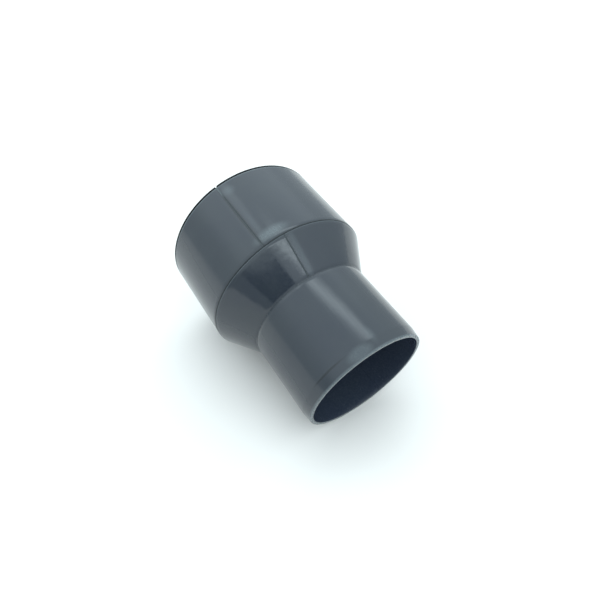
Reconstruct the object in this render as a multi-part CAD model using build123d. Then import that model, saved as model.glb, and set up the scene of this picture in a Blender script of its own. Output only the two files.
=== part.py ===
from build123d import *
import os
from math import atan2, cos, degrees, sin, tan

# Pipe reducer in rolled and fused PVC-U sheet.
# Frame: +X runs along the pipe axis from the large end to the small end,
# +Z is up, and the origin is the centre of the large end's rim.

# driving dimensions, mm
LARGE_OD = 110.0
SMALL_OD = 80.0
WALL = 3.0
LARGE_LEN = 57.0
CONE_LEN = 24.0
SMALL_LEN = 56.0
LEAD_LEN = 6.5
LEAD_DROP = 0.9
RIM_ROUND = 0.8
RING_OUT = 0.5
RING_IN = 0.7
BEAD_RISE = 0.55
SEAM_WIDTH = 1.0
SEAM_SUNK = 0.15
NICK_DEPTH = 1.2
LARGE_SEAM_AT = -25.0
CONE_SEAM_AT = -11.0
SMALL_SEAM_AT = 147.0

# sizes that follow
R1 = LARGE_OD / 2
R2 = SMALL_OD / 2
X_SHOULDER = LARGE_LEN
X_NECK = LARGE_LEN + CONE_LEN
X_END = X_NECK + SMALL_LEN
X_LEAD = X_END - LEAD_LEN
SLOPE = atan2(R1 - R2, CONE_LEN)
RUN, DROP = cos(SLOPE), sin(SLOPE)
MITRE = WALL * tan(SLOPE / 2)


def revolve_profile(*edges):
    """Closed outline of (x, radius) edges turned once round the pipe axis."""
    face = make_face(Curve() + list(edges))
    return revolve(Plane.XZ * face, Axis.X, 360)


def chain(*points):
    """Straight edges through the points, the last point not joined to the first."""
    return [Line(a, b) for a, b in zip(points, points[1:])]


def slot_bar(x0, x1, angle):
    """A bar one seam wide that crosses the wall on one side of the axis."""
    bar = Pos((x0 + x1) / 2, 0, 50) * Box(x1 - x0, SEAM_WIDTH, 60)
    return Rot(-angle, 0, 0) * bar


def solid_of(shape):
    """The one solid that the shape holds."""
    found = shape.solids()
    assert len(found) == 1
    return found[0]


# points where each fused ring meets its two neighbours: narrow outside, wider inside
sh_mid = (X_SHOULDER - MITRE, R1 - WALL)
nk_mid = (X_NECK - MITRE, R2 - WALL)
sh_large_out = (X_SHOULDER - RING_OUT, R1)
sh_large_in = (sh_mid[0] - RING_IN, R1 - WALL)
sh_cone_out = (X_SHOULDER + RING_OUT * RUN, R1 - RING_OUT * DROP)
sh_cone_in = (sh_mid[0] + RING_IN * RUN, sh_mid[1] - RING_IN * DROP)
nk_cone_out = (X_NECK - RING_OUT * RUN, R2 + RING_OUT * DROP)
nk_cone_in = (nk_mid[0] - RING_IN * RUN, nk_mid[1] + RING_IN * DROP)
nk_small_out = (X_NECK + RING_OUT, R2)
nk_small_in = (nk_mid[0] + RING_IN, R2 - WALL)

# large end: plain pipe with a rounded outer rim
large_full = revolve_profile(
    *chain((0, R1 - RIM_ROUND), (0, R1 - WALL), sh_large_in, sh_large_out, (RIM_ROUND, R1)),
    RadiusArc((0, R1 - RIM_ROUND), (RIM_ROUND, R1), RIM_ROUND),
)

# cone: uniform wall, its ends bevelled for the fused rings
cone_full = revolve_profile(
    *chain(sh_cone_out, nk_cone_out, nk_cone_in, sh_cone_in, sh_cone_out),
)

# small end: plain pipe with a long, slight lead-in taper at the rim
small_full = revolve_profile(
    *chain(
        nk_small_in,
        (X_END, R2 - WALL),
        (X_END, R2 - LEAD_DROP),
        (X_LEAD, R2),
        nk_small_out,
        nk_small_in,
    ),
)

# shoulder ring: crisp outer corner, low bead on the inside
sh_bead = (sh_mid[0] - BEAD_RISE * sin(SLOPE / 2), sh_mid[1] - BEAD_RISE * cos(SLOPE / 2))
shoulder_fusion = revolve_profile(
    *chain(sh_large_in, sh_large_out, (X_SHOULDER, R1), sh_cone_out, sh_cone_in),
    ThreePointArc(sh_cone_in, sh_bead, sh_large_in),
)

# neck ring: crisp inner corner of the step, low bead on the inside
nk_bead = (nk_mid[0] - BEAD_RISE * sin(SLOPE / 2), nk_mid[1] - BEAD_RISE * cos(SLOPE / 2))
neck_fusion = revolve_profile(
    *chain(nk_cone_in, nk_cone_out, (X_NECK, R2), nk_small_out, nk_small_in),
    ThreePointArc(nk_small_in, nk_bead, nk_cone_in),
)

# the seam that closes each rolled shell fills a slot cut through its wall
large_slot = slot_bar(-1, X_SHOULDER + 1, LARGE_SEAM_AT)
cone_slot = slot_bar(X_SHOULDER - 5, X_NECK + 5, CONE_SEAM_AT)
small_slot = slot_bar(X_NECK - 5, X_END + 1, SMALL_SEAM_AT)

large_end_shell = solid_of(large_full - large_slot)
cone_shell = solid_of(cone_full - cone_slot)
small_end_shell = solid_of(small_full - small_slot)

# the large and cone seams lie slightly under the surface, and the large one stops short of the rim
def sunk(outer, inner):
    """The point one seam's sinking below outer, on the wall's end edge from outer to inner."""
    part = SEAM_SUNK / WALL
    return (outer[0] + part * (inner[0] - outer[0]), outer[1] + part * (inner[1] - outer[1]))


large_core = revolve_profile(
    *chain(
        (NICK_DEPTH, R1 - WALL),
        sh_large_in,
        sunk(sh_large_out, sh_large_in),
        (NICK_DEPTH, R1 - SEAM_SUNK),
        (NICK_DEPTH, R1 - WALL),
    ),
)
cone_sunk_start = sunk(sh_cone_out, sh_cone_in)
cone_sunk_end = sunk(nk_cone_out, nk_cone_in)
cone_core = revolve_profile(
    *chain(cone_sunk_start, cone_sunk_end, nk_cone_in, sh_cone_in, cone_sunk_start),
)
large_end_seam = solid_of(large_core & large_slot)
cone_seam = solid_of(cone_core & cone_slot)
small_end_seam = solid_of(small_full & small_slot)

os.makedirs("parts", exist_ok=True)
pieces = {
    "large_end_shell": large_end_shell,
    "large_end_seam": large_end_seam,
    "cone_shell": cone_shell,
    "cone_seam": cone_seam,
    "small_end_shell": small_end_shell,
    "small_end_seam": small_end_seam,
    "shoulder_fusion": shoulder_fusion,
    "neck_fusion": neck_fusion,
}
for name, shape in pieces.items():
    export_step(shape, f"parts/{name}.step")
    print(name, round(shape.volume, 1), shape.bounding_box())
print("slope", round(degrees(SLOPE), 2), "length", X_END)
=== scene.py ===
"""Looks for a pipe reducer rolled and fused from dark grey PVC-U sheet. Metres, +X along the pipe, +Z up."""
import math

import bmesh
import bpy
from mathutils import Matrix, Vector, noise


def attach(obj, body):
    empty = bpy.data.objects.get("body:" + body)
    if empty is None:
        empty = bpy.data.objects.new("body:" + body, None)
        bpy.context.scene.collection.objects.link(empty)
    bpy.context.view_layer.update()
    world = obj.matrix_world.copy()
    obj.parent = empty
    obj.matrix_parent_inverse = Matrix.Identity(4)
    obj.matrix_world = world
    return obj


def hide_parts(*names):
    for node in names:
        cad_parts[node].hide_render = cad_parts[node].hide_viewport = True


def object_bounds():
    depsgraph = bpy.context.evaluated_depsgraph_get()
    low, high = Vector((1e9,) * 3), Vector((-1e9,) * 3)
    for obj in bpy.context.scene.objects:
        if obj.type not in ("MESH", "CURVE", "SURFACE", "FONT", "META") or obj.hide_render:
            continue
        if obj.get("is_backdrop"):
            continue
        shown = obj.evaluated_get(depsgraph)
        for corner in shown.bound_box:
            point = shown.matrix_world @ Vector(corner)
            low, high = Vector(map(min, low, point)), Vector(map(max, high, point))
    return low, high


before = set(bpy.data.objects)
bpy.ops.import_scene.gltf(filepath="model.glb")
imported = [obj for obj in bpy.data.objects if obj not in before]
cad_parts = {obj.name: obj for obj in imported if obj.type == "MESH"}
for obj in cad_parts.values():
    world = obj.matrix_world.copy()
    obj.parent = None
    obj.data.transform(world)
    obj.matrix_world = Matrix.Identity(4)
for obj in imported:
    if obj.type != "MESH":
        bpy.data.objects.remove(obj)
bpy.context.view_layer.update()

MM = 0.001

# sizes of the fitting, mm, as the CAD nodes have them
LARGE_R, SMALL_R, WALL = 55.0, 40.0, 3.0
SHOULDER_X, NECK_X, END_X = 57.0, 81.0, 137.0
LEAD_LEN, LEAD_DROP = 6.5, 0.9
RING_OUT, RING_IN, BEAD = 0.5, 0.7, 0.55
SEAM_W = 1.0
SLOPE = math.atan2(LARGE_R - SMALL_R, NECK_X - SHOULDER_X)
RUN, DROP = math.cos(SLOPE), math.sin(SLOPE)
MITRE = WALL * math.tan(SLOPE / 2)
IN_LARGE, IN_SMALL = LARGE_R - WALL, SMALL_R - WALL

# finer sizes that the CAD nodes don't have or have plainer, mm: the nick and the band of painted shade at
# the large rim, how deep the seams sink, the ridge inside the small seam, and where a ring's bead ends
NICK, RIM_SHADE_BAND = 1.0, 1.6
SEAM_SUNK, FLUSH_SUNK, RIDGE, BEAD_EDGE = 0.04, 0.03, 0.2, 0.3

# roundings, mm: the rims, the joins of wall and ring, the shoulder, the neck, the lead-in, the seam's end
RIM_ROUND, JOIN_ROUND, NECK_JOIN_ROUND = 0.3, 0.04, 0.05
SHOULDER_ROUND, NECK_ROUND, LEAD_ROUND, SEAM_ROUND = 0.15, 0.12, 0.15, 0.2

# places of the seams, degrees from the top of the pipe towards +Y
LARGE_SEAM, CONE_SEAM, SMALL_SEAM = -25.0, -11.0, 147.0

# columns in a turn, columns across a seam, degrees of the first sweep of an open piece, and the fold
# between two faces, in degrees, that is shaded as an edge
TURN_STEPS, SEAM_STEPS, OPEN_SWEEP, SHARP_FROM = 360, 8, 350.0, 32.0


# ---------------------------------------------------------------- shapes
def half_angle(width, radius):
    """Half the angle, in degrees, that a width spans at a radius."""
    return math.degrees(math.asin(width / 2 / radius))


def turned(name, outline, rounds=(), cuts=(), seam_at=0.0, part="ring", press=None):
    """A wall turned round the pipe axis from a closed outline of (x, radius) in mm.

    part is ring for a closed turn, wall for a turn that leaves the seam's slot open, and seam for the
    strip that fills the slot. rounds holds (corner number, radius, segments), cuts holds (side number,
    count), and press gives the outward push in mm at (x, angle, radius, share of the turn).
    """
    bm = bmesh.new()
    section = bm.faces.new([bm.verts.new((x * MM, 0, r * MM)) for x, r in outline])
    sides = list(section.edges)
    for number, count in cuts:
        bmesh.ops.subdivide_edges(bm, edges=[sides[number]], cuts=count)
    for number, radius, segments in rounds:
        x, r = outline[number]
        corner = min(bm.verts, key=lambda v: (v.co - Vector((x, 0, r)) * MM).length)
        bmesh.ops.bevel(
            bm,
            geom=[corner],
            offset=radius * MM,
            offset_type="OFFSET",
            segments=segments,
            profile=0.5,
            affect="VERTICES",
            material=-1,
        )
    bmesh.ops.delete(bm, geom=bm.faces[:], context="FACES_ONLY")
    to_seam = Matrix.Rotation(-math.radians(seam_at), 3, "X")
    bmesh.ops.rotate(bm, verts=bm.verts, cent=(0, 0, 0), matrix=to_seam)
    closed = part == "ring"
    sweep = 360.0 if closed else OPEN_SWEEP
    bmesh.ops.spin(
        bm,
        geom=bm.verts[:] + bm.edges[:],
        cent=(0, 0, 0),
        axis=(-1, 0, 0),
        angle=math.radians(sweep),
        steps=SEAM_STEPS if part == "seam" else TURN_STEPS,
        use_merge=closed,
    )
    bmesh.ops.remove_doubles(bm, verts=bm.verts, dist=0.0001 * MM)
    if not closed:
        bmesh.ops.holes_fill(bm, edges=[e for e in bm.edges if e.is_boundary], sides=0)
    for v in bm.verts:
        radius = math.hypot(v.co.y, v.co.z) / MM
        # a degree of slack keeps the first column from being read as a whole turn on
        turn = (math.degrees(math.atan2(v.co.y, v.co.z)) - seam_at + 1.0) % 360 - 1.0
        share = min(max(turn / sweep, 0.0), 1.0)
        gap = half_angle(SEAM_W, radius)
        if part == "wall":
            turn = gap + share * (360 - 2 * gap)
        if part == "seam":
            turn = -gap + share * 2 * gap
        angle = math.radians(seam_at + turn)
        if press:
            radius += press(v.co.x / MM, math.degrees(angle), radius, share)
        v.co.y = radius * MM * math.sin(angle)
        v.co.z = radius * MM * math.cos(angle)
    bmesh.ops.recalc_face_normals(bm, faces=bm.faces)
    mesh = bpy.data.meshes.new(name)
    bm.to_mesh(mesh)
    bm.free()
    mesh.shade_smooth()
    mesh.set_sharp_from_angle(angle=math.radians(SHARP_FROM))
    piece = bpy.data.objects.new(name, mesh)
    bpy.context.scene.collection.objects.link(piece)
    return piece


def arc(a, b, c, count):
    """Points between a and c, both left out, on the arc that passes through b."""
    ax, ay = a
    bx, by = b
    cx, cy = c
    d = 2 * (ax * (by - cy) + bx * (cy - ay) + cx * (ay - by))
    sa, sb, sc = ax * ax + ay * ay, bx * bx + by * by, cx * cx + cy * cy
    ox = (sa * (by - cy) + sb * (cy - ay) + sc * (ay - by)) / d
    oy = (sa * (cx - bx) + sb * (ax - cx) + sc * (bx - ax)) / d
    first, last = math.atan2(ay - oy, ax - ox), math.atan2(cy - oy, cx - ox)
    last = first + (last - first + math.pi) % (2 * math.pi) - math.pi
    radius = math.hypot(ax - ox, ay - oy)
    turns = [first + (last - first) * (i + 1) / (count + 1) for i in range(count)]
    return [(ox + radius * math.cos(t), oy + radius * math.sin(t)) for t in turns]


def ripple(x, angle, radius, height, pitch, along=1.0, salt=0.0):
    """Smooth chance waves up to height mm high, over about pitch mm of the surface.

    along below 1 draws them out along the pipe, and salt makes them differ from another sheet's.
    """
    turn = math.radians(angle)
    spot = Vector((x * along, radius * math.sin(turn), radius * math.cos(turn) + salt))
    return height * noise.noise(spot / pitch)


def lip(share, radius, depth, width):
    """How far a wall sinks beside its seam: depth mm at the seam, and nothing from width mm away."""
    return depth * max(0.0, 1 - min(share, 1 - share) * 2 * math.pi * radius / width)


# pushes that turned() applies, in mm, positive outwards
def sheet_waves(x, angle, radius, share):
    """Warm-rolled sheet is never quite round: long shallow waves, and outside a sinking lip at the seam."""
    waves = ripple(x, angle, radius, height=0.05, pitch=22, along=0.4)
    outside = radius > LARGE_R - WALL / 2
    return waves - (lip(share, radius, depth=0.05, width=2.4) if outside else 0.0)


def small_waves(x, angle, radius, share):
    """The same waves on the smaller sheet, whose seam is scraped flush outside."""
    return ripple(x, angle, radius, height=0.035, pitch=15, along=0.5, salt=90)


def cone_waves(x, angle, radius, share):
    """The cone's sheet is rolled tighter, so it waves less, and its seam lips sink less."""
    waves = ripple(x, angle, radius, height=0.025, pitch=18, along=0.5, salt=40)
    return waves - lip(share, radius, depth=0.015, width=1.8)


def outer_groove(x, angle, radius, share):
    """A fused seam: dished along its middle, shallow near the large rim, with the welder's small ripples."""
    large_outside = radius > LARGE_R - WALL / 2 and x < SHOULDER_X
    deepest = 0.1 if large_outside else 0.06
    fade_in, least = 8, 0.15
    dish = deepest * min(max((x - NICK) / fade_in, least), 1.0)
    welded = ripple(x, angle, radius, height=0.02, pitch=1.6)
    return welded - dish * math.sin(math.pi * share) - SEAM_SUNK


def inner_ridge(x, angle, radius, share):
    """The small seam is flush outside and stands a little proud inside the bore."""
    if radius > SMALL_R - WALL / 2:
        return ripple(x, angle, radius, height=0.01, pitch=1.5) - FLUSH_SUNK
    welded = ripple(x, angle, radius, height=0.05, pitch=1.6)
    return welded - RIDGE * math.sin(math.pi * share)


def bead_swell(x, angle, radius, share):
    """The bead inside a ring swells and thins as the melt was pressed out; outside it hardly does."""
    bore = IN_LARGE if x < (SHOULDER_X + NECK_X) / 2 else IN_SMALL
    if radius < bore + BEAD_EDGE:
        return ripple(x, angle, radius, height=0.14, pitch=3.5, along=0.3, salt=7)
    return ripple(x, angle, radius, height=0.012, pitch=6)


# where each fused ring meets its two neighbours
sh_mid, nk_mid = (SHOULDER_X - MITRE, IN_LARGE), (NECK_X - MITRE, IN_SMALL)
sh_large_out, sh_large_in = (SHOULDER_X - RING_OUT, LARGE_R), (sh_mid[0] - RING_IN, IN_LARGE)
sh_cone_out = (SHOULDER_X + RING_OUT * RUN, LARGE_R - RING_OUT * DROP)
sh_cone_in = (sh_mid[0] + RING_IN * RUN, IN_LARGE - RING_IN * DROP)
nk_cone_out = (NECK_X - RING_OUT * RUN, SMALL_R + RING_OUT * DROP)
nk_cone_in = (nk_mid[0] - RING_IN * RUN, IN_SMALL + RING_IN * DROP)
nk_small_out, nk_small_in = (NECK_X + RING_OUT, SMALL_R), (nk_mid[0] + RING_IN, IN_SMALL)
bead_lift = (BEAD * math.sin(SLOPE / 2), BEAD * math.cos(SLOPE / 2))
sh_bead = (sh_mid[0] - bead_lift[0], sh_mid[1] - bead_lift[1])
nk_bead = (nk_mid[0] - bead_lift[0], nk_mid[1] - bead_lift[1])

cone_outline = [sh_cone_out, nk_cone_out, nk_cone_in, sh_cone_in]
small_outline = [
    nk_small_out,
    (END_X - LEAD_LEN, SMALL_R),
    (END_X, SMALL_R - LEAD_DROP),
    (END_X, IN_SMALL),
    nk_small_in,
]

large_wall = turned(
    "large_end_wall",
    [(0, IN_LARGE), (0, LARGE_R), (RIM_SHADE_BAND, LARGE_R), sh_large_out, sh_large_in],
    rounds=[(0, RIM_ROUND, 3), (1, RIM_ROUND, 3), (3, JOIN_ROUND, 2)],
    cuts=[(2, 24), (4, 12)],
    seam_at=LARGE_SEAM,
    part="wall",
    press=sheet_waves,
)
cone_wall = turned(
    "cone_wall",
    cone_outline,
    rounds=[(0, JOIN_ROUND, 2), (1, JOIN_ROUND, 2)],
    cuts=[(0, 12), (2, 8)],
    seam_at=CONE_SEAM,
    part="wall",
    press=cone_waves,
)
small_wall = turned(
    "small_end_wall",
    small_outline,
    rounds=[(0, NECK_JOIN_ROUND, 2), (1, LEAD_ROUND, 2), (2, RIM_ROUND, 3), (3, RIM_ROUND, 3)],
    cuts=[(0, 24), (1, 4), (3, 14)],
    seam_at=SMALL_SEAM,
    part="wall",
    press=small_waves,
)
large_seam = turned(
    "large_end_seam_line",
    [(NICK, IN_LARGE), (NICK, LARGE_R), sh_large_out, sh_large_in],
    rounds=[(1, SEAM_ROUND, 2)],
    cuts=[(1, 90)],
    seam_at=LARGE_SEAM,
    part="seam",
    press=outer_groove,
)
cone_seam = turned(
    "cone_seam_line",
    cone_outline,
    cuts=[(0, 44)],
    seam_at=CONE_SEAM,
    part="seam",
    press=outer_groove,
)
small_seam = turned(
    "small_end_seam_line",
    small_outline,
    rounds=[(2, RIM_ROUND, 2), (3, RIM_ROUND, 2)],
    cuts=[(0, 60), (3, 80)],
    seam_at=SMALL_SEAM,
    part="seam",
    press=inner_ridge,
)
shoulder_ring = turned(
    "shoulder_ring",
    [sh_large_in, sh_large_out, (SHOULDER_X, LARGE_R), sh_cone_out, sh_cone_in]
    + arc(sh_cone_in, sh_bead, sh_large_in, 6),
    rounds=[(1, JOIN_ROUND, 2), (2, SHOULDER_ROUND, 4), (3, JOIN_ROUND, 2)],
    press=bead_swell,
)
neck_ring = turned(
    "neck_ring",
    [nk_cone_in, nk_cone_out, (NECK_X, SMALL_R), nk_small_out, nk_small_in]
    + arc(nk_small_in, nk_bead, nk_cone_in, 6),
    rounds=[(1, JOIN_ROUND, 2), (2, NECK_ROUND, 4), (3, JOIN_ROUND, 2)],
    press=bead_swell,
)


# ---------------------------------------------------------------- finishes
# sizes of the surface's patterns, mm: cloudiness of the pigment, drag lines of the former (long, wide),
# flats and hollows, specks of rubbing, and the skin's texture, of about 0.3 mm but drawn at 0.7 to show
CLOUD, DRAG_LONG, DRAG_WIDE, FLATS, SPECK, SKIN = 30.0, 60.0, 1.5, 6.0, 1.1, 0.7
# and their depths, mm
DRAG_DEEP, FLATS_DEEP, SKIN_DEEP = 0.018, 0.03, 0.006

# each finish's dark and light tone, and its pale tone for wear and for painted highlights
SHEET = ("#252b38", "#33393d", "#6a7478")
INSIDE = ("#2a3143", "#313944", "#6a7478")
SEAM_LINE = ("#172127", "#202b31", "#6a7478")
SHOULDER_MELT = ("#15191e", "#1f2429", "#6a7478")
NECK_MELT = ("#20262f", "#2a3138", "#6a7478")
SAWN = ("#20252c", "#292f36", "#5a6268")
# near-black tones for the band of painted shade along the large rim
RIM_SHADE_TONES = ("#090a0d", "#101215", "#30353a")
# the darkening of the large seam's heat stain, and of the painted shade in the crease where the lead-in
# starts
STAIN_AND_SHADE_TONE = "#0b1114"


def linear(code):
    """A hex colour, sRGB, as the linear colour that the shaders take."""
    parts = [int(code[i : i + 2], 16) / 255 for i in (1, 3, 5)]
    return tuple(p / 12.92 if p <= 0.04045 else ((p + 0.055) / 1.055) ** 2.4 for p in parts) + (1.0,)


def add(tree, kind, settings, inputs):
    """Adds a node with its settings, and its inputs as values or as links from other sockets."""
    made = tree.nodes.new(kind)
    for key, value in settings.items():
        setattr(made, key, value)
    for key, value in inputs.items():
        if isinstance(value, bpy.types.NodeSocket):
            tree.links.new(value, made.inputs[key])
        else:
            made.inputs[key].default_value = value
    return made


def oval_patch(tree, place, at, half, soft):
    """A soft-edged oval, 1 inside: at and half are (x in mm, degrees round the pipe)."""
    middle = (at[0] * MM, math.radians(at[1]), 0)
    stretch = (1 / (half[0] * MM), 1 / math.radians(half[1]), 0)
    away = add(tree, "ShaderNodeVectorMath", {"operation": "SUBTRACT"}, {0: place, 1: middle})
    scaled = add(tree, "ShaderNodeVectorMath", {"operation": "MULTIPLY"}, {0: away.outputs[0], 1: stretch})
    far = add(tree, "ShaderNodeVectorMath", {"operation": "LENGTH"}, {0: scaled.outputs[0]})
    return add(
        tree,
        "ShaderNodeMapRange",
        {"interpolation_type": "SMOOTHSTEP"},
        {
            "Value": far.outputs["Value"],
            "From Min": 1 - soft,
            "From Max": 1 + soft,
            "To Min": 1.0,
            "To Max": 0.0,
        },
    ).outputs["Result"]


def wear_and_highlight_patches(tree, place, along, speckle, highlight_and_wear_marks, rims):
    """Where the plastic is pale and dull, 0 to 1, from wear and painted highlights: at the marks and the
    rims, broken into specks.
    """
    paleness = None
    for at, half, strength, soft in highlight_and_wear_marks:
        oval = oval_patch(tree, place, at, half, soft)
        mark = add(tree, "ShaderNodeMath", {"operation": "MULTIPLY"}, {0: oval, 1: strength}).outputs[0]
        if paleness:
            mark = add(tree, "ShaderNodeMath", {"operation": "MAXIMUM"}, {0: paleness, 1: mark}).outputs[0]
        paleness = mark
    for edge, end in rims:
        band = add(
            tree,
            "ShaderNodeMapRange",
            {},
            {"Value": along, "From Min": edge * MM, "From Max": end * MM, "To Min": 0.75, "To Max": 0.0},
        ).outputs["Result"]
        if paleness:
            band = add(tree, "ShaderNodeMath", {"operation": "MAXIMUM"}, {0: paleness, 1: band}).outputs[0]
        paleness = band
    if not paleness:
        paleness = add(tree, "ShaderNodeMath", {"operation": "MULTIPLY"}, {0: speckle, 1: 0.1}).outputs[0]
    broken = add(
        tree, "ShaderNodeMapRange", {}, {"Value": speckle, "To Min": 0.7, "To Max": 1.0}
    ).outputs["Result"]
    return add(tree, "ShaderNodeMath", {"operation": "MULTIPLY"}, {0: paleness, 1: broken}).outputs[0]


def pvc(name, tones, rough, highlight_and_wear_marks=(), rims=(), stains_and_shade=(), shine=0.5):
    """PVC-U sheet, warm-rolled: a semi-gloss skin that gives a clear but soft-edged reflection.

    Faint cloudiness in the grey, lengthwise drag lines from the former, shallow flats that make the
    edges of reflections wander, a fine skin texture, and pale dull patches at the rims and at the marks,
    which are wear in some places and painted highlights in others. tones holds the dark, light and pale
    tone, the pale one serving wear and painted highlights. highlight_and_wear_marks holds (place, half
    size, strength, softness) with places as (x in mm, degrees), rims holds (x of the edge, x where the
    pale band ends), mm, and stains_and_shade holds (place, half size, strength, softness) of plastic
    darkened: a heat stain along a seam, and painted shade in a crease. shine is the shader's
    specular level: 0.5 is whole plastic, and cut or scraped plastic has less.
    """
    dark, light, tone_of_wear_and_highlights = (linear(code) for code in tones)
    material = bpy.data.materials.new(name)
    material.use_nodes = True
    tree = material.node_tree
    shader = tree.nodes["Principled BSDF"]
    shader.inputs["IOR"].default_value = 1.53
    shader.inputs["Specular IOR Level"].default_value = shine
    where = add(tree, "ShaderNodeTexCoord", {}, {}).outputs["Object"]
    split = add(tree, "ShaderNodeSeparateXYZ", {}, {0: where})
    round_pipe = add(
        tree, "ShaderNodeMath", {"operation": "ARCTAN2"}, {0: split.outputs["Y"], 1: split.outputs["Z"]}
    ).outputs[0]
    place = add(tree, "ShaderNodeCombineXYZ", {}, {0: split.outputs["X"], 1: round_pipe}).outputs[0]

    cloud = add(
        tree,
        "ShaderNodeTexNoise",
        {},
        {"Vector": where, "Scale": 1 / (CLOUD * MM), "Detail": 3.0, "Roughness": 0.55},
    ).outputs["Fac"]
    stretch = (1 / (DRAG_LONG * MM), 1 / (DRAG_WIDE * MM), 1 / (DRAG_WIDE * MM))
    drawn = add(tree, "ShaderNodeMapping", {"vector_type": "POINT"}, {0: where, "Scale": stretch})
    drag = add(
        tree, "ShaderNodeTexNoise", {}, {"Vector": drawn.outputs[0], "Scale": 1.0, "Detail": 2.0}
    ).outputs["Fac"]
    flats = add(
        tree, "ShaderNodeTexNoise", {}, {"Vector": where, "Scale": 1 / (FLATS * MM), "Detail": 1.0}
    ).outputs["Fac"]
    specks = add(
        tree,
        "ShaderNodeTexNoise",
        {},
        {"Vector": where, "Scale": 1 / (SPECK * MM), "Detail": 4.0, "Roughness": 0.7},
    ).outputs["Fac"]
    skin = add(
        tree, "ShaderNodeTexNoise", {}, {"Vector": where, "Scale": 1 / (SKIN * MM), "Detail": 2.0}
    ).outputs["Fac"]

    speckle = add(
        tree,
        "ShaderNodeMapRange",
        {},
        {"Value": specks, "From Min": 0.38, "From Max": 0.68, "To Min": 0.0, "To Max": 1.0},
    ).outputs["Result"]
    pale_wear_and_highlights = wear_and_highlight_patches(tree, place, split.outputs["X"], speckle, highlight_and_wear_marks, rims)

    layers = [(cloud, light), (pale_wear_and_highlights, tone_of_wear_and_highlights)]
    for at, half, strength, soft in stains_and_shade:
        oval = oval_patch(tree, place, at, half, soft)
        amount = add(tree, "ShaderNodeMath", {"operation": "MULTIPLY"}, {0: oval, 1: strength}).outputs[0]
        layers.append((amount, linear(STAIN_AND_SHADE_TONE)))
    colour = dark
    for amount, over in layers:
        colour = add(
            tree, "ShaderNodeMix", {"data_type": "RGBA"}, {"Factor": amount, "A": colour, "B": over}
        ).outputs["Result"]
    tree.links.new(colour, shader.inputs["Base Color"])

    # the drag lines shine a little more, the specks a little less, and the pale places, worn and painted
    # highlights alike, least
    gloss = add(
        tree,
        "ShaderNodeMapRange",
        {},
        {"Value": drag, "From Min": 0.3, "From Max": 0.7, "To Min": rough - 0.07, "To Max": rough + 0.01},
    ).outputs["Result"]
    for amount, dulling in ((specks, 0.08), (pale_wear_and_highlights, 0.22)):
        gloss = add(
            tree, "ShaderNodeMath", {"operation": "MULTIPLY_ADD"}, {0: amount, 1: dulling, 2: gloss}
        ).outputs[0]
    tree.links.new(gloss, shader.inputs["Roughness"])

    relief = add(
        tree, "ShaderNodeBump", {}, {"Strength": 1.0, "Distance": SKIN_DEEP * MM, "Height": skin}
    ).outputs["Normal"]
    for height, deep in ((drag, DRAG_DEEP), (flats, FLATS_DEEP)):
        relief = add(
            tree,
            "ShaderNodeBump",
            {},
            {"Strength": 1.0, "Distance": deep * MM, "Height": height, "Normal": relief},
        ).outputs["Normal"]
    tree.links.new(relief, shader.inputs["Normal"])
    return material


# sheet outsides: slate grey, semi-gloss, with painted highlights beside the seams, near the shoulder and on
# the lead-in, the large seam's heat line, and painted shade in the crease where the lead-in starts
large_pvc = pvc(
    "rolled PVC-U sheet, large end",
    SHEET,
    0.16,
    highlight_and_wear_marks=[
        # painted highlights: a glint beside the seam near the rim, the light's reflection near the shoulder,
        # and a lit strip beside the seam's groove
        ((8.6, -20.5), (3.0, 3.2), 0.34, 0.95),
        ((51.6, -16.5), (3.0, 8.5), 0.62, 0.85),
        ((40, -21), (9, 1.2), 0.12, 0.9),
    ],
    # pale bands, partly wear and partly painted highlight: just inside the rim's band of painted shade, and
    # along the shoulder's edge
    rims=[(RIM_SHADE_BAND, RIM_SHADE_BAND + 1.1), (SHOULDER_X, SHOULDER_X - 0.7)],
    stains_and_shade=[((32, LARGE_SEAM), (30, 1.1), 0.75, 0.75)],
)
cone_pvc = pvc(
    "rolled PVC-U sheet, cone",
    SHEET,
    0.11,
    # painted highlight: a lit strip beside the cone's seam; the rim band is a painted highlight on the
    # cone's side of the shoulder edge, partly wear
    highlight_and_wear_marks=[((70, -7.6), (14, 2.0), 0.2, 0.7)],
    rims=[(SHOULDER_X + 0.2, SHOULDER_X + 0.9)],
)
small_pvc = pvc(
    "rolled PVC-U sheet, small end",
    SHEET,
    0.14,
    # painted highlights: the bright end of the light's reflection near the rim, and the light's reflection
    # on the lead-in; the rim band is wear
    highlight_and_wear_marks=[((128, -2.5), (4, 2.5), 0.2, 0.9), ((133.6, -18), (3.4, 10), 0.32, 0.45)],
    rims=[(END_X - 0.1, END_X - 1.4)],
    # painted shade: a dark line in the crease where the lead-in starts
    stains_and_shade=[((END_X - LEAD_LEN - 0.1, -46), (0.6, 15), 0.6, 0.5)],
)
# the insides keep the former's smoother skin, a little paler and bluer
bore_pvc = pvc("rolled PVC-U sheet, inside", INSIDE, 0.2)
# melted and set again, darker and less shiny than the sheet, and rubbed pale where it starts at the nick
seam_pvc = pvc(
    "fused PVC-U seam",
    SEAM_LINE,
    0.28,
    highlight_and_wear_marks=[((3.5, LARGE_SEAM), (6, 3), 0.5, 0.5)],
    shine=0.42,
)
# scraped down to the sheet, so that it hardly shows
flush_pvc = pvc("fused PVC-U seam, scraped flush", SHEET, 0.16)
# the rings read as thin dark lines: a dull one at the shoulder, and a softer one at the neck
shoulder_pvc = pvc("fused PVC-U ring, shoulder", SHOULDER_MELT, 0.4, shine=0.27)
neck_pvc = pvc("fused PVC-U ring, neck", NECK_MELT, 0.22, shine=0.45)
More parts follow.
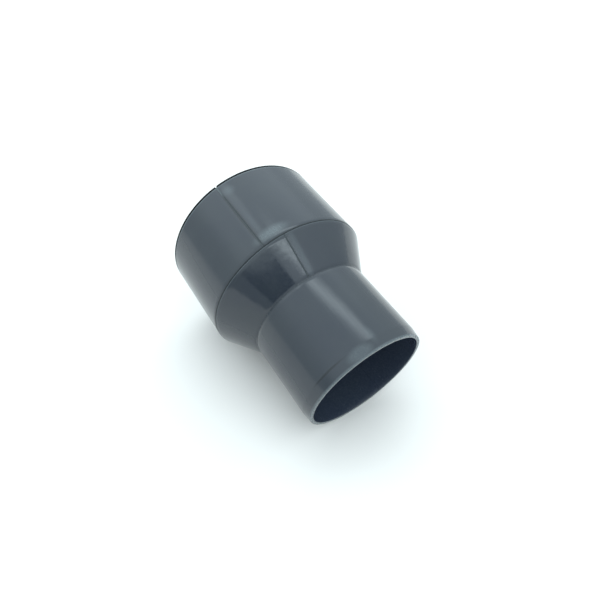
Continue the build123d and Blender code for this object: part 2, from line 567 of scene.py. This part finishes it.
# a matt grey cut face, and beside it a near-black band of painted shade along the rim
sawn_pvc = pvc("sawn PVC-U end", SAWN, 0.5, shine=0.3)
rim_shade_pvc = pvc("PVC-U rim band, painted shade", RIM_SHADE_TONES, 0.5, shine=0.04)

for piece, node, slot, finish in (
    (large_wall, "large_end_shell", "shell", large_pvc),
    (cone_wall, "cone_shell", "shell", cone_pvc),
    (small_wall, "small_end_shell", "shell", small_pvc),
    (large_seam, "large_end_seam", "seam", seam_pvc),
    (cone_seam, "cone_seam", "seam", seam_pvc),
    (small_seam, "small_end_seam", "seam", flush_pvc),
    (shoulder_ring, "shoulder_fusion", "fusion", shoulder_pvc),
    (neck_ring, "neck_fusion", "fusion", neck_pvc),
):
    piece.data.materials.append(finish)
    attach(piece, "root")
    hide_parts(node)

# the insides: faces that look towards the pipe's axis
for piece in (large_wall, cone_wall, small_wall, small_seam):
    piece.data.materials.append(bore_pvc)
    for face in piece.data.polygons:
        outward = face.normal.y * face.center.y + face.normal.z * face.center.z
        face.material_index = 1 if outward < -0.5 * math.hypot(face.center.y, face.center.z) else 0

# the large rim: a sawn end face, and outside it the narrow band of painted shade
large_wall.data.materials.append(sawn_pvc)
large_wall.data.materials.append(rim_shade_pvc)
for face in large_wall.data.polygons:
    if face.normal.x < -0.5:
        face.material_index = 2
    elif face.center.x < RIM_SHADE_BAND * MM and face.material_index == 0:
        face.material_index = 3

# ---------------------------------------------------------------- floor
# the fitting lies on its shoulder and its small rim, so the floor leans in the fitting's frame
lean = math.atan2(LARGE_R - (SMALL_R - LEAD_DROP), END_X - SHOULDER_X)
along = Vector((math.cos(lean), 0, math.sin(lean)))
up = Vector((-math.sin(lean), 0, math.cos(lean)))
touch = Vector((SHOULDER_X, 0, -LARGE_R)) * MM
FLOOR_HALF, FLOOR_GAP = 2.0, 0.0001

bm = bmesh.new()
bmesh.ops.create_grid(bm, x_segments=1, y_segments=1, size=FLOOR_HALF)
bmesh.ops.rotate(bm, verts=bm.verts, cent=(0, 0, 0), matrix=Matrix.Rotation(-lean, 3, "Y"))
bmesh.ops.translate(bm, verts=bm.verts, vec=touch - up * FLOOR_GAP)
mesh = bpy.data.meshes.new("floor")
bm.to_mesh(mesh)
bm.free()
floor = bpy.data.objects.new("floor", mesh)
bpy.context.scene.collection.objects.link(floor)
# matt paper: white, with a soft even shade and no sheen
paper = bpy.data.materials.new("matt white paper")
paper.use_nodes = True
paper.node_tree.nodes["Principled BSDF"].inputs["Base Color"].default_value = linear("#f0ebe7")
paper.node_tree.nodes["Principled BSDF"].inputs["Roughness"].default_value = 0.9
floor.data.materials.append(paper)
floor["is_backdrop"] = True

# ---------------------------------------------------------------- light
# a white room, brighter overhead, with softboxes and two dark cards, all degrees but the strength:
# (azimuth, elevation, roll, half width, half height, edge softness, strength)
SOFTBOXES = (
    (141, 71.5, 11, 14, 4.5, 4.2, 2.9),
    (175, 50, 0, 45, 14, 9, 0.4),
    (203, 58.5, 30, 6, 4.5, 2.5, 1.0),
    (352, 52, -6, 12, 2.8, 1.6, 3.2),
    (18, 46, -20, 8, 3, 2, 0.8),
)
DARK_CARDS = (
    (322.4, 25.5, 42, 22, 8.3, 1.0, 0.92),
    (290, 2, 0, 24, 19, 9, 0.42),
)
ROOM_LOW, ROOM_HIGH = 0.90, 1.55
ROOM_TINT = (0.87, 1.0, 1.05)
BACKDROP = (1.1, 1.1, 1.1, 1)


def toward(azimuth, elevation):
    """A direction in the room: azimuth from +X towards +Y along the floor, elevation above it, degrees."""
    a, e = math.radians(azimuth), math.radians(elevation)
    level = math.cos(a) * along + math.sin(a) * Vector((0, 1, 0))
    return math.cos(e) * level + math.sin(e) * up


def panel(tree, looking, azimuth, elevation, roll, half_wide, half_high, soft):
    """A soft-edged rectangle in the room's light, 1 inside; its half sizes and edge are in degrees."""
    middle = toward(azimuth, elevation)
    side, over = toward(azimuth + 90, 0), toward(azimuth, elevation + 90)
    turn = math.radians(roll)
    across = math.cos(turn) * side + math.sin(turn) * over
    above = math.cos(turn) * over - math.sin(turn) * side
    spans = []
    for axis in (across, above, middle):
        dot = add(tree, "ShaderNodeVectorMath", {"operation": "DOT_PRODUCT"}, {0: looking, 1: axis})
        spans.append(dot.outputs["Value"])
    wide, high, ahead = spans
    depth = add(tree, "ShaderNodeMath", {"operation": "MAXIMUM"}, {0: ahead, 1: 0.001}).outputs[0]
    inside = add(tree, "ShaderNodeMath", {"operation": "GREATER_THAN"}, {0: ahead, 1: 0.0}).outputs[0]
    for span, half in ((wide, half_wide), (high, half_high)):
        slope = add(tree, "ShaderNodeMath", {"operation": "DIVIDE"}, {0: span, 1: depth}).outputs[0]
        angle = add(tree, "ShaderNodeMath", {"operation": "ARCTANGENT"}, {0: slope}).outputs[0]
        size = add(tree, "ShaderNodeMath", {"operation": "ABSOLUTE"}, {0: angle}).outputs[0]
        within = add(
            tree,
            "ShaderNodeMapRange",
            {"interpolation_type": "SMOOTHSTEP"},
            {
                "Value": size,
                "From Min": math.radians(half - soft),
                "From Max": math.radians(half + soft),
                "To Min": 1.0,
                "To Max": 0.0,
            },
        ).outputs["Result"]
        inside = add(tree, "ShaderNodeMath", {"operation": "MULTIPLY"}, {0: inside, 1: within}).outputs[0]
    return inside


world = bpy.data.worlds.new("studio")
bpy.context.scene.world = world
world.use_nodes = True
sky = world.node_tree
looking = add(sky, "ShaderNodeTexCoord", {}, {}).outputs["Generated"]
height = add(sky, "ShaderNodeVectorMath", {"operation": "DOT_PRODUCT"}, {0: looking, 1: up}).outputs["Value"]
light = add(
    sky,
    "ShaderNodeMapRange",
    {"interpolation_type": "SMOOTHSTEP"},
    {"Value": height, "From Min": 0.0, "From Max": 0.9, "To Min": ROOM_LOW, "To Max": ROOM_HIGH},
).outputs["Result"]
for *shape, strength in SOFTBOXES:
    box = panel(sky, looking, *shape)
    light = add(
        sky, "ShaderNodeMath", {"operation": "MULTIPLY_ADD"}, {0: box, 1: strength, 2: light}
    ).outputs[0]
for *shape, strength in DARK_CARDS:
    card = panel(sky, looking, *shape)
    shade = add(
        sky, "ShaderNodeMath", {"operation": "MULTIPLY_ADD"}, {0: card, 1: -strength, 2: 1.0}
    ).outputs[0]
    light = add(sky, "ShaderNodeMath", {"operation": "MULTIPLY"}, {0: light, 1: shade}).outputs[0]
room = add(sky, "ShaderNodeVectorMath", {"operation": "SCALE"}, {0: ROOM_TINT, "Scale": light}).outputs[0]
# the lens itself sees a plain white room behind the floor
seen = add(sky, "ShaderNodeLightPath", {}, {}).outputs["Is Camera Ray"]
view = add(
    sky, "ShaderNodeMix", {"data_type": "RGBA"}, {"Factor": seen, "A": room, "B": BACKDROP}
).outputs["Result"]
backing = sky.nodes["Background"]
sky.links.new(view, backing.inputs["Color"])
backing.inputs["Strength"].default_value = 1.0

# ---------------------------------------------------------------- camera
CAMERA_AT = Vector((203.76, -120.23, 231.74)) * MM
CAMERA_RIGHT = Vector((0.5536, 0.8263, 0.1038)).normalized()
CAMERA_FORWARD = Vector((-0.45991, 0.40728, -0.78906)).normalized()
SENSOR, LENS = 36.0, 27.32

camera = bpy.data.objects.new("camera", bpy.data.cameras.new("camera"))
bpy.context.scene.collection.objects.link(camera)
camera.data.sensor_width = SENSOR
camera.data.lens = LENS
camera.data.clip_start = 10 * MM
camera_up = CAMERA_RIGHT.cross(CAMERA_FORWARD)
facing = Matrix((CAMERA_RIGHT, camera_up, -CAMERA_FORWARD)).transposed().to_4x4()
camera.matrix_world = Matrix.Translation(CAMERA_AT) @ facing
bpy.context.scene.camera = camera
bpy.context.scene.view_settings.view_transform = "Standard"

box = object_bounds()
